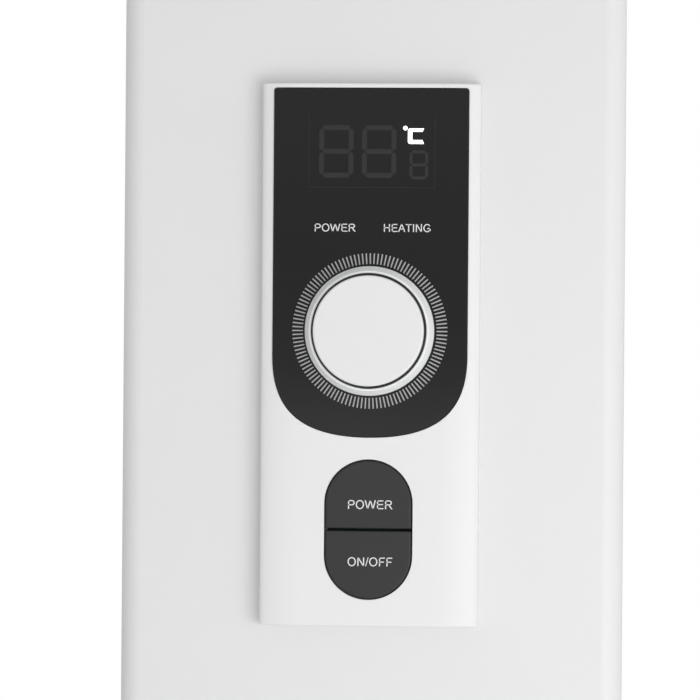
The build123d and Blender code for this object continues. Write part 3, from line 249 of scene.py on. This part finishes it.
# %% Dark plastics
def dark_plastic(name, level, roughness, grain, grain_size, dust=0.0, ior=1.5):
    """Dark moulded plastic with a grain of that depth and size, and a little pale dust in the grain."""
    finish = Finish(name)
    pattern = finish.noise(grain_size, 3, 0.55)
    clouds = finish.noise(0.03, 3)
    dusty = finish.noise(0.011, 5, 0.7) ** 3.0
    body = finish.blend(clouds, grey(level * 0.9), grey(level * 1.1))
    colour = finish.blend(dusty * dust, body, grey(0.35, (1, 0.97, 0.93)))
    return finish.done(
        base_color=colour,
        roughness=roughness + (pattern - 0.5) * 0.12,
        ior=ior,
        normal=finish.bump(pattern, grain),
    )


button_grey = dark_plastic("button_grey", 0.026, 0.44, 0.000002, 0.0006, ior=1.40)
grained_black = dark_plastic("grained_black", 0.018, 0.52, 0.00003, 0.0012, dust=0.10)
wheel_black = dark_plastic("wheel_black", 0.022, 0.60, 0.00002, 0.0016, dust=0.35)
hidden_black = dark_plastic("hidden_black", 0.015, 0.6, 0.00001, 0.001)
print("dark plastics:", button_grey.name, grained_black.name, wheel_black.name)


# %% [markdown]
# Steel fins are dipped in baked enamel.  It is glossier than the plastic and has orange peel: soft bumps
# about two millimetres apart that bend every highlight.


# %% Enamel and metals
def enamel(name, level, roughness, tint=(1, 1, 1)):
    """Baked enamel on steel, with orange peel and a faint warm cloud."""
    finish = Finish(name)
    peel = finish.noise(0.0024, 2, 0.4)
    clouds = finish.noise(0.09, 3)
    colour = finish.blend(clouds, grey(level * 0.985, tint), grey(level * 1.01, (1, 0.998, 0.99)))
    return finish.done(
        base_color=colour,
        roughness=roughness + (clouds - 0.5) * 0.06,
        coat_weight=0.35,
        coat_roughness=0.12,
        normal=finish.bump(peel, 0.00002),
    )


def plated(name, colour, roughness, spangle_size, spread=0.12):
    """Plated or bare metal: blotches of slightly different brightness and fine draw lines."""
    finish = Finish(name)
    cells = {"Vector": finish.place(), "Scale": 1 / spangle_size}
    spangle = finish.node("ShaderNodeTexVoronoi", {}, cells, "Color")
    blotch = finish.node("ShaderNodeRGBToBW", {}, {0: spangle})
    lines = finish.noise(0.002, 4, 0.6, stretch=(1, 1, 6))
    dark = tuple(value * (1 - spread) for value in colour) + (1,)
    light = tuple(min(1.0, value * (1 + spread)) for value in colour) + (1,)
    return finish.done(
        base_color=finish.blend(blotch, dark, light),
        metallic=1.0,
        roughness=roughness + lines * 0.12,
        normal=finish.bump(lines, 0.000006),
    )


fin_enamel = enamel("fin_enamel", 0.80, 0.30)
strap_enamel = enamel("strap_enamel", 0.74, 0.36, (1, 0.995, 0.985))
zinc = plated("zinc", (0.62, 0.62, 0.60), 0.28, 0.004)
brass = plated("brass", (0.72, 0.52, 0.22), 0.26, 0.003, 0.08)
tinted_steel = plated("tinted_steel", (0.42, 0.38, 0.34), 0.30, 0.006, 0.2)
aluminium = plated("aluminium", (0.75, 0.75, 0.76), 0.25, 0.002, 0.05)
print("enamels and metals:", fin_enamel.name, strap_enamel.name, zinc.name, brass.name)


# %% [markdown]
# Inside the box there are boards and parts that only show through the vents.  They still get plausible
# finishes: a board's green mask is mottled by the tracks under it.


# %% Inner parts
TRACKS_PER_METRE = 700


def board_green(name):
    """Green solder mask over copper tracks: square patches a little lighter than the rest."""
    finish = Finish(name)
    sockets = {"Vector": finish.place(), "Scale": TRACKS_PER_METRE}
    tracks = finish.node("ShaderNodeTexBrick", {"offset": 0.5}, sockets, "Fac")
    colour = finish.blend(tracks, (0.012, 0.10, 0.035, 1), (0.02, 0.16, 0.06, 1))
    return finish.done(base_color=colour, roughness=0.35 + tracks * 0.1)


circuit_green = board_green("circuit_green")
relay_blue = moulded("relay_blue", 0.20, 0.35, (0.12, 0.45, 1.6))
winding_yellow = moulded("winding_yellow", 0.45, 0.45, (1.25, 0.95, 0.25))
print("inner finishes:", circuit_green.name, relay_blue.name, winding_yellow.name)

# %% [markdown]
# ## Giving each piece its finish
#
# The model says which material slot each node uses, so one table from slot to finish covers all sixty.

# %% Slots to finishes
finish_of_slot = {
    "enamel_white": fin_enamel,
    "cover_white": cover_white,
    "panel_white": panel_white,
    "knob_white": knob_white,
    "knob_grey": ring_pearl,
    "panel_glass": window_black,
    "button_grey": button_grey,
    "black_plastic": grained_black,
    "wheel_black": wheel_black,
    "zinc_steel": zinc,
    "strap_steel": strap_enamel,
    "circuit_board": circuit_green,
    "display_black": hidden_black,
    "relay_blue": relay_blue,
    "transformer_yellow": winding_yellow,
    "brass_fitting": brass,
    "element_steel": tinted_steel,
    "shaft_aluminium": aluminium,
}
for part in frame["record"]["subparts"]:
    piece = nodes[part["node"]]
    piece.data.materials.clear()
    piece.data.materials.append(finish_of_slot[part["material_slot"]])

# %% [markdown]
# ## Where things are on the panel
#
# All positions come from the model: the window's box gives the glass plane and its edges, and the knob's
# joint gives the centre of the dial.

# %% Measure the panel
MM = 0.001
glass_low, glass_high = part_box("display_glass")
glass_y = glass_low[1]
glass_top = glass_high[2]
joint_of = {joint["name"]: joint for joint in frame["joints"]}
knob_z = joint_of["knob_turn"]["pos_m"][2]
INK = 0.03 * MM
print("glass plane", round(glass_y, 5), "top", round(glass_top, 4), "knob", round(knob_z, 4))

# %% [markdown]
# ## Ink
#
# Printed marks are real, very thin solids: three hundredths of a millimetre of ink.  One helper turns a
# list of flat outlines into one mesh that stands that far out of the surface.  Each outline is extruded
# into a closed shape, so nothing flickers against the glass.  Ticks, hairlines and the straight strokes
# of letters are all rectangles, so they share one outline.


# %% Thin solids from outlines
def block(left, right, bottom, top):
    """The outline of an upright rectangle."""
    return [(left, bottom), (right, bottom), (right, top), (left, top)]


def ink_mesh(name, outlines, plane_y, depth=INK):
    """One mesh from flat outlines given as lists of (x, z) in metres, standing out towards the front."""
    shape = bmesh.new()
    for outline in outlines:
        back = [shape.verts.new((x, plane_y, z)) for x, z in outline]
        front = [shape.verts.new((x, plane_y - depth, z)) for x, z in outline]
        shape.faces.new(front)
        shape.faces.new(list(reversed(back)))
        for index in range(len(outline)):
            after = (index + 1) % len(outline)
            shape.faces.new((back[index], back[after], front[after], front[index]))
    bmesh.ops.recalc_face_normals(shape, faces=shape.faces)
    mesh = bpy.data.meshes.new(name)
    shape.to_mesh(mesh)
    shape.free()
    return mesh


def add_piece(name, mesh, material, body):
    """Puts a mesh in the scene with its finish, riding on a body."""
    piece = bpy.data.objects.new(name, mesh)
    bpy.context.scene.collection.objects.link(piece)
    piece.data.materials.clear()
    piece.data.materials.append(material)
    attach(piece, body)


def ink_finish(name, level, glow=0.0, roughness=0.5):
    """Printed ink: slightly uneven cover, and a glow for marks that are lit from behind."""
    finish = Finish(name)
    uneven = finish.noise(0.0007, 3)
    colour = finish.blend(uneven, grey(level * 0.93), grey(level))
    return finish.done(base_color=colour, roughness=roughness, emission_color=colour, emission_strength=glow)


tick_ink = ink_finish("tick_ink", 0.40)
word_ink = ink_finish("word_ink", 0.80)
lit_white = ink_finish("lit_white", 1.0, 1.4)
dim_bar = ink_finish("dim_bar", 0.016, roughness=0.25)
faint_edge = ink_finish("faint_edge", 0.012, roughness=0.3)
print("inks:", tick_ink.name, word_ink.name, lit_white.name, dim_bar.name)

# %% [markdown]
# ## The ring of ticks
#
# A hundred and twenty fine strokes surround the knob, one every three degrees.  Each stroke is a narrow
# rectangle turned to its own angle.

# %% Tick ring
TICK_COUNT = 120
TICK_INNER = 25.9 * MM
TICK_OUTER = 30.05 * MM
TICK_HALF_WIDTH = 0.25 * MM


def turned(x, z, angle):
    """A point beside the knob's axis, turned about it."""
    across = x * math.cos(angle) - z * math.sin(angle)
    up = x * math.sin(angle) + z * math.cos(angle)
    return (across, knob_z + up)


tick_corners = block(-TICK_HALF_WIDTH, TICK_HALF_WIDTH, TICK_INNER, TICK_OUTER)
ticks = []
for step in range(TICK_COUNT):
    angle = math.tau * step / TICK_COUNT
    ticks.append([turned(x, z, angle) for x, z in tick_corners])
add_piece("tick_ring", ink_mesh("tick_ring", ticks, glass_y), tick_ink, "radiator")
print("ticks:", len(ticks))

# %% [markdown]
# ## Numerals
#
# The display shows two large numerals and a small one.  They are off, and their bars still show faintly
# through the tinted window.  A numeral is seven mitred bars, so one function draws a bar between two ends
# with pointed tips, and another lays out the seven.


# %% Seven-bar numerals
def bar(x0, z0, x1, z1, stroke):
    """A bar from one end to the other with tips at forty-five degrees."""
    half = stroke / 2
    if z0 == z1:
        return [(x0, z0), (x0 + half, z0 - half), (x1 - half, z0 - half),
                (x1, z0), (x1 - half, z0 + half), (x0 + half, z0 + half)]
    return [(x0, z0), (x0 + half, z0 + half), (x0 + half, z1 - half),
            (x0, z1), (x0 - half, z1 - half), (x0 - half, z0 + half)]


def numeral(centre_x, drop, width, height, stroke, gap):
    """The seven bars of a numeral, whose centre lies that far below the window's top edge."""
    middle = glass_top - drop
    half_w = (width - stroke) / 2
    half_h = (height - stroke) / 2
    bars = []
    for level in (-half_h, 0.0, half_h):
        z = middle + level
        bars.append(bar(centre_x - half_w + gap, z, centre_x + half_w - gap, z, stroke))
    for side in (-half_w, half_w):
        x = centre_x + side
        bars.append(bar(x, middle + gap, x, middle + half_h - gap, stroke))
        bars.append(bar(x, middle - half_h + gap, x, middle - gap, stroke))
    return bars


LARGE = {"drop": 24.6 * MM, "width": 13.3 * MM, "height": 20.3 * MM, "stroke": 1.9 * MM, "gap": 0.22 * MM}
SMALL = {"drop": 29.7 * MM, "width": 7.2 * MM, "height": 11.2 * MM, "stroke": 1.15 * MM, "gap": 0.15 * MM}
dim_bars = []
for centre_x, measures in ((-13.5 * MM, LARGE), (3.1 * MM, LARGE), (18.5 * MM, SMALL)):
    dim_bars += numeral(centre_x, **measures)
bars_mesh = ink_mesh("unlit_numerals", dim_bars, glass_y)
add_piece("unlit_numerals", bars_mesh, dim_bar, "radiator")
print("bars:", len(dim_bars))

# %% [markdown]
# ## The lit sign
#
# One sign glows: a small round dot and a square-cut C.  The dot is a many-sided disc, and the C is one
# outline with rounded corners.  Around it, the display behind the glass shows its edge as a hairline.

# %% Degree sign
DOT_SIDES = 32


def disc(centre_x, centre_z, radius):
    """A round outline."""
    steps = [math.tau * index / DOT_SIDES for index in range(DOT_SIDES)]
    return [(centre_x + radius * math.cos(angle), centre_z + radius * math.sin(angle)) for angle in steps]


def square_c(left, right, top, bottom):
    """A square-cut C: a thick upright, two arms that end on a slant, and rounded outer corners."""
    upright = 1.7 * MM
    upper_arm = 1.3 * MM
    lower_arm = 1.5 * MM
    corner = 0.9 * MM
    lean = 0.55 * MM
    quarter = [math.radians(90 + 15 * step) for step in range(7)]
    outline = [(right, top)]
    for a in quarter:
        outline.append((left + corner + corner * math.cos(a), top - corner + corner * math.sin(a)))
    for a in quarter:
        outline.append((left + corner - corner * math.sin(a), bottom + corner + corner * math.cos(a)))
    outline += [
        (right, bottom), (right - lean, bottom + lower_arm), (left + upright, bottom + lower_arm),
        (left + upright, top - upper_arm), (right - lean, top - upper_arm),
    ]
    return outline


sign = [disc(13.2 * MM, glass_top - 15.5 * MM, 0.87 * MM)]
sign.append(square_c(14.2 * MM, 20.4 * MM, glass_top - 15.6 * MM, glass_top - 21.6 * MM))
sign_mesh = ink_mesh("degree_sign", sign, glass_y)
add_piece("degree_sign", sign_mesh, lit_white, "radiator")
print("sign outlines:", len(sign))

# %% Edge of the display behind the glass
MODULE_LEFT = -24.2 * MM
MODULE_RIGHT = 24.8 * MM
MODULE_TOP = glass_top - 10.4 * MM
MODULE_FOOT = glass_top - 38.6 * MM
HAIR = 0.16 * MM
edges = [
    block(MODULE_LEFT, MODULE_LEFT + HAIR, MODULE_FOOT, MODULE_TOP),
    block(MODULE_RIGHT - HAIR, MODULE_RIGHT, MODULE_FOOT, MODULE_TOP),
    block(MODULE_LEFT + HAIR, MODULE_RIGHT - HAIR, MODULE_FOOT, MODULE_FOOT + HAIR),
]
module_mesh = ink_mesh("display_edge", edges, glass_y)
add_piece("display_edge", module_mesh, faint_edge, "radiator")
print("display edges:", len(edges))

# %% [markdown]
# ## Words
#
# The words are plain upright capitals without serifs, in a grid where a capital is 716 units high.  A
# letter is only a few strokes, and a stroke is a rectangle, a slanted bar over the letter's full height,
# or an arc, which is a slice of a flattened ring.  Only the leg of the R has four corners of its own.
# Strokes may cross, since all the ink is one colour.

# %% Strokes of letters
CAPITAL = 716
STEM = 95
BEAM = 84
ARC_STEPS = 20


def slant(bottom_left, bottom_right, top_left, top_right):
    """A sloping stroke over the full height of a capital."""
    return [(bottom_left, 0), (bottom_right, 0), (top_right, CAPITAL), (top_left, CAPITAL)]


def arc(centre_x, centre_z, wide, high, start, end):
    """A slice of a flattened ring, between two angles in degrees."""
    angles = [math.radians(start + (end - start) * step / ARC_STEPS) for step in range(ARC_STEPS + 1)]
    outside = [(centre_x + wide * math.cos(a), centre_z + high * math.sin(a)) for a in angles]
    inner_wide = wide - STEM
    inner_high = high - BEAM
    inside = [(centre_x + inner_wide * math.cos(a), centre_z + inner_high * math.sin(a)) for a in angles]
    return outside + list(reversed(inside))


LEVEL_TOP = (CAPITAL - BEAM, CAPITAL)
letters = {
    "P": (667, [block(77, 172, 0, CAPITAL), block(77, 405, *LEVEL_TOP), block(77, 405, 291, 375),
                arc(404, 503.5, 223, 212.5, -90, 90)]),
    "R": (722, [block(79, 174, 0, CAPITAL), block(79, 440, *LEVEL_TOP), block(79, 440, 318, 402),
                arc(439, 517, 205, 199, -90, 90), [(335, 330), (455, 345), (710, 0), (591, 0)]]),
    "O": (778, [arc(389, 358, 342, 370, 0, 180), arc(389, 358, 342, 370, 180, 360)]),
    "G": (778, [arc(390, 358, 340, 370, 36, 180), arc(390, 358, 340, 370, 180, 322),
                block(620, 714, 105, 365), block(403, 714, 281, 365)]),
    "W": (944, [slant(201, 298, 9, 108), slant(201, 298, 423, 521), slant(647, 744, 423, 521),
                slant(647, 744, 838, 935)]),
    "E": (667, [block(79, 174, 0, CAPITAL), block(79, 606, *LEVEL_TOP), block(79, 575, 329, 413),
                block(79, 617, 0, BEAM)]),
    "F": (611, [block(82, 177, 0, CAPITAL), block(82, 565, *LEVEL_TOP), block(82, 500, 307, 391)]),
    "H": (722, [block(80, 175, 0, CAPITAL), block(546, 641, 0, CAPITAL), block(80, 641, 338, 422)]),
    "A": (667, [slant(-1, 104, 282, 386), slant(564, 669, 282, 386), block(160, 508, 217, 294)]),
    "T": (611, [block(258, 353, 0, CAPITAL), block(23, 586, *LEVEL_TOP)]),
    "I": (278, [block(93, 188, 0, CAPITAL)]),
    "N": (722, [block(76, 171, 0, CAPITAL), block(545, 638, 0, CAPITAL), slant(530, 638, 76, 185)]),
    "/": (278, [slant(0, 70, 209, 279)]),
}
print("letters:", "".join(sorted(letters)))


# %% Printed words
def print_word(name, text, cap_height, width, centre, plane_y, body):
    """A word as thin ink, scaled to a capital height and an overall width about its centre."""
    strokes = []
    pen = 0
    for letter in text:
        advance, shapes = letters[letter]
        strokes += [[(pen + x, z) for x, z in shape] for shape in shapes]
        pen += advance
    across = [x for stroke in strokes for x, z in stroke]
    middle = (max(across) + min(across)) / 2
    scale_x = width / (max(across) - min(across))
    scale_z = cap_height / CAPITAL
    outlines = []
    for stroke in strokes:
        placed = [((x - middle) * scale_x, (z - CAPITAL / 2) * scale_z) for x, z in stroke]
        outlines.append([(centre[0] + x, centre[1] + z) for x, z in placed])
    add_piece(name, ink_mesh(name, outlines, plane_y), word_ink, body)


GLASS_CAPITALS = 3.05 * MM
KEY_CAPITALS = 3.4 * MM
for text, width, x in (("POWER", 15.9 * MM, -13.7 * MM), ("HEATING", 18.1 * MM, 14.2 * MM)):
    centre = (x, glass_top - 54.1 * MM)
    name = "word_" + text.lower()
    print_word(name, text, GLASS_CAPITALS, width, centre, glass_y, "radiator")
button_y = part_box("power_button")[0][1]
for key, text, drop in (("power", "POWER", 161.1 * MM), ("onoff", "ON/OFF", 183.2 * MM)):
    centre = (0.8 * MM, glass_top - drop)
    print_word(key + "_word", text, KEY_CAPITALS, 17.3 * MM, centre, button_y, key + "_key")
print("words printed")

# %% [markdown]
# ## Camera
#
# A long lens from well in front keeps the panel's edges almost parallel.  The camera stands a few degrees
# to the right of straight ahead, level with the panel.

# %% Camera
VIEW_WIDTH = 270.7 * MM
DISTANCE = 1.6
AZIMUTH = math.radians(4.1)
ROLL = math.radians(0.45)
target = Vector((-7.6 * MM, glass_y, glass_top - 101.4 * MM))
away = Vector((math.sin(AZIMUTH), -math.cos(AZIMUTH), 0.0))
lens = bpy.data.cameras.new("camera")
lens.sensor_width = 36.0
lens.lens = lens.sensor_width * DISTANCE / VIEW_WIDTH
lens.clip_start = 0.01
lens.clip_end = 100.0
camera = bpy.data.objects.new("camera", lens)
bpy.context.scene.collection.objects.link(camera)
camera.location = target + away * DISTANCE
camera.rotation_euler = away.to_track_quat("Z", "Y").to_euler()
camera.rotation_euler.rotate_axis("Z", ROLL)
bpy.context.scene.camera = camera
print("camera at", tuple(round(value, 3) for value in camera.location), "lens", round(lens.lens, 1))

# %% [markdown]
# ## Light and floor
#
# White surroundings give most of the light, a little more from the right than from the left.  A soft box
# low on the right throws the raised panel's soft shadow up and to its left, and one above lifts the top
# faces.  The black window would mirror white surroundings as grey, so there is one dark patch straight
# ahead of it, which pales just below eye level.  The backdrop itself is shown as plain white.


# %% Soft boxes
def soft_box(name, place, aim_at, size, power):
    """A square area light that faces a point."""
    light = bpy.data.lights.new(name, "AREA")
    light.shape = "SQUARE"
    light.size = size
    light.energy = power
    box = bpy.data.objects.new(name, light)
    bpy.context.scene.collection.objects.link(box)
    box.location = place
    box.rotation_euler = (place - aim_at).to_track_quat("Z", "Y").to_euler()


KEY_OFFSET = Vector((0.45, -0.85, -0.30))
KEY_SIZE = 0.7
KEY_WATTS = 5.2
TOP_PLACE = Vector((0.3, 0.4, 2.6))
TOP_SIZE = 1.6
TOP_WATTS = 6
panel_middle = Vector((0, glass_y, glass_top - 100 * MM))
heater_middle = Vector((0, 0, 0.3))
soft_box("key_box", panel_middle + KEY_OFFSET, panel_middle, KEY_SIZE, KEY_WATTS)
soft_box("top_box", TOP_PLACE, heater_middle, TOP_SIZE, TOP_WATTS)
print("soft boxes ready")

# %% Surroundings
world = bpy.data.worlds.new("surroundings")
bpy.context.scene.world = world
sky = Finish("surroundings", world)
direction = sky.node("ShaderNodeTexCoord", output="Generated")
across = sky.node("ShaderNodeSeparateXYZ", {}, {0: direction}, "X")
ahead = sky.node("ShaderNodeSeparateXYZ", {}, {0: direction}, "Y") * -1
up = sky.node("ShaderNodeSeparateXYZ", {}, {0: direction}, "Z")
PATCH_START = 0.930
PATCH_FULL = 0.975
PATCH_REACH = 0.1
ROOM_LEVEL = 0.70
LEAN_RIGHT = 0.08
LEAN_DOWN = 0.05
in_patch = sky.node("ShaderNodeMapRange", {"interpolation_type": "SMOOTHSTEP"},
                    {"Value": ahead, "From Min": PATCH_START, "From Max": PATCH_FULL})
patch_place = sky.node("ShaderNodeMapRange", {},
                       {"Value": up, "From Min": -PATCH_REACH, "From Max": PATCH_REACH})
HORIZON = 0.5
patch_stops = [
    (0.0, grey(0.80)),
    (HORIZON - 0.080, grey(1.00)),
    (HORIZON - 0.045, grey(0.52)),
    (HORIZON + 0.10, grey(0.47)),
    (HORIZON + 0.32, grey(0.58)),
    (1.0, grey(0.58)),
]
patch = sky.node("ShaderNodeValToRGB", {"stops": patch_stops}, {"Fac": patch_place})
room_level = ROOM_LEVEL + across * LEAN_RIGHT - up * LEAN_DOWN
room = sky.node("ShaderNodeCombineColor", {}, {"Red": room_level, "Green": room_level, "Blue": room_level})
lit = sky.blend(in_patch, room, patch)
seen = sky.node("ShaderNodeLightPath", output="Is Camera Ray")
shown = sky.blend(seen, lit, grey(1.0))
glow = sky.node("ShaderNodeBackground", {}, {"Color": shown})
sky_out = sky.tree.nodes.new("ShaderNodeOutputWorld")
sky.tree.links.new(glow.socket, sky_out.inputs["Surface"])
print("surroundings ready")

# %% [markdown]
# The floor is a plain pale sheet.  It fades out with the distance from the heater, so that no edge or
# horizon cuts through the white backdrop.

# %% Floor
FLOOR_HALF = 2.4
FADE_START = 0.9
FADE_END = 2.3
floor_mesh = bpy.data.meshes.new("floor")
corners = [(-1, -1), (1, -1), (1, 1), (-1, 1)]
floor_mesh.from_pydata([(x * FLOOR_HALF, y * FLOOR_HALF, 0.0) for x, y in corners], [], [(0, 1, 2, 3)])
floor = bpy.data.objects.new("floor", floor_mesh)
bpy.context.scene.collection.objects.link(floor)
floor_finish = Finish("floor_white")
spot = floor_finish.place()
from_middle = floor_finish.node("ShaderNodeVectorMath", {"operation": "LENGTH"}, {0: spot}, "Value")
fade = {"Value": from_middle, "From Min": FADE_START, "From Max": FADE_END, "To Min": 1.0, "To Max": 0.0}
solid = floor_finish.node("ShaderNodeMapRange", {"interpolation_type": "SMOOTHSTEP"}, fade)
clouds = floor_finish.blend(floor_finish.noise(0.3), grey(0.85), grey(0.87))
floor_mesh.materials.append(floor_finish.done(base_color=clouds, roughness=0.7, alpha=solid))
bpy.context.scene.view_settings.view_transform = "Standard"

# %% Update the scene
bpy.context.view_layer.update()
